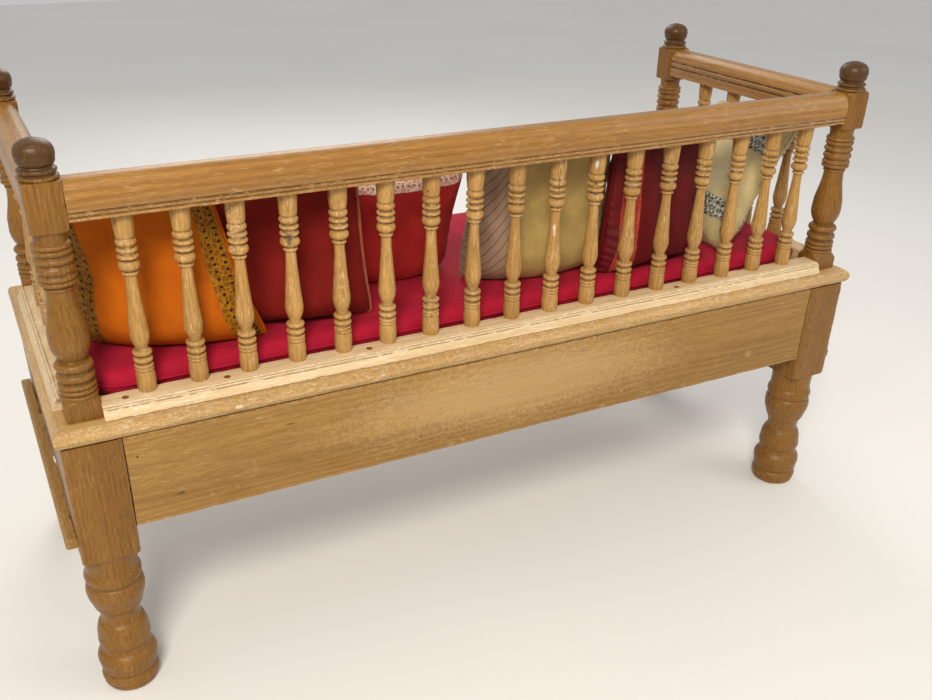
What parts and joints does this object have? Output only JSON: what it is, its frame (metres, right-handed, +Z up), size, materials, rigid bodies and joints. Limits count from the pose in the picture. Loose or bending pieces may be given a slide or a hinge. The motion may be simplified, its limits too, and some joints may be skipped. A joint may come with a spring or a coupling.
{
  "type": "daybed",
  "caption": "Back-railed daybed of turned hardwood: spindle back and ends, open front, turned legs under a moulded seat frame, thin mattress and loose cushions.",
  "frame": {"origin": "on the floor, under the middle of the bed's overall box", "axes": "+X along the bed's length, +Y towards the railed back so the open front faces -Y, +Z up"},
  "size_m": [1.553, 0.62, 0.9043],
  "materials": {
    "turned_post_wood": "old turned hardwood, honey to brown, waxed over pale residue in the grain and grooves",
    "spindle_wood": "old turned hardwood, honey brown, limed ring crests and grooves, waxed",
    "rail_wood": "long straight grain, honey brown, waxed to a soft shine, fine pale scratches",
    "apron_wood": "flat sawn board, honey gold, pale residue in the grain, knots and old nail marks, satin",
    "moulding_wood": "sanded hardwood, pale honey on the nose and the ledge, darker in the coves, satin",
    "deck_wood": "rough sawn boards, dull brown",
    "iron_nail": "old nail heads, dull, rusted",
    "mattress_cotton": "plain woven cotton, crimson pink, matt",
    "orange_cotton": "plain woven cotton, saffron orange, matt",
    "crimson_cotton": "plain woven cotton, dark crimson, matt",
    "red_cotton": "plain woven cotton, red, soft sheen",
    "olive_satin": "pleated satin, olive gold turning grey mauve, sheen",
    "wine_satin": "gathered satin, wine red, sheen",
    "cream_satin": "satin, cream gold, strong sheen",
    "gold_brocade": "woven brocade band, golden yellow with small dark figures",
    "pale_lace": "lace band, pink and cream with small dark eyelets",
    "red_sequin": "band of small red sequins, glittering",
    "dark_brocade": "brocade band, black and silver with gold thread",
    "copper_piping": "thin corded piping, copper red, metallic thread",
    "silver_braid": "thin braided cord, silver grey, metallic thread"
  },
  "bodies": {
    "root": {"apron_back": "apron_wood", "apron_front": "apron_wood", "apron_left": "apron_wood", "apron_right": "apron_wood", "cushion_cream": "cream_satin", "cushion_crimson": "crimson_cotton", "cushion_olive": "olive_satin", "cushion_orange": "orange_cotton", "cushion_red": "red_cotton", "cushion_wine": "wine_satin", "deck_boards": "deck_wood", "leg_back_left": "turned_post_wood", "leg_back_right": "turned_post_wood", "leg_front_left": "turned_post_wood", "leg_front_right": "turned_post_wood", "mattress": "mattress_cotton", "post_back_left": "turned_post_wood", "post_back_right": "turned_post_wood", "post_front_left": "turned_post_wood", "post_front_right": "turned_post_wood", "seat_ledge_back": "moulding_wood", "seat_ledge_front": "moulding_wood", "seat_ledge_left": "moulding_wood", "seat_ledge_right": "moulding_wood", "seat_moulding_back": "moulding_wood", "seat_moulding_front": "moulding_wood", "seat_moulding_left": "moulding_wood", "seat_moulding_right": "moulding_wood", "spindle_back_01": "spindle_wood", "spindle_back_02": "spindle_wood", "spindle_back_03": "spindle_wood", "spindle_back_04": "spindle_wood", "spindle_back_05": "spindle_wood", "spindle_back_06": "spindle_wood", "spindle_back_07": "spindle_wood", "spindle_back_08": "spindle_wood", "spindle_back_09": "spindle_wood", "spindle_back_10": "spindle_wood", "spindle_back_11": "spindle_wood", "spindle_back_12": "spindle_wood", "spindle_back_13": "spindle_wood", "spindle_back_14": "spindle_wood", "spindle_back_15": "spindle_wood", "spindle_back_16": "spindle_wood", "spindle_back_17": "spindle_wood", "spindle_left_01": "spindle_wood", "spindle_left_02": "spindle_wood", "spindle_left_03": "spindle_wood", "spindle_left_04": "spindle_wood", "spindle_right_01": "spindle_wood", "spindle_right_02": "spindle_wood", "spindle_right_03": "spindle_wood", "spindle_right_04": "spindle_wood", "top_rail_back": "rail_wood", "top_rail_left": "rail_wood", "top_rail_right": "rail_wood"}
  },
  "joints": []
}
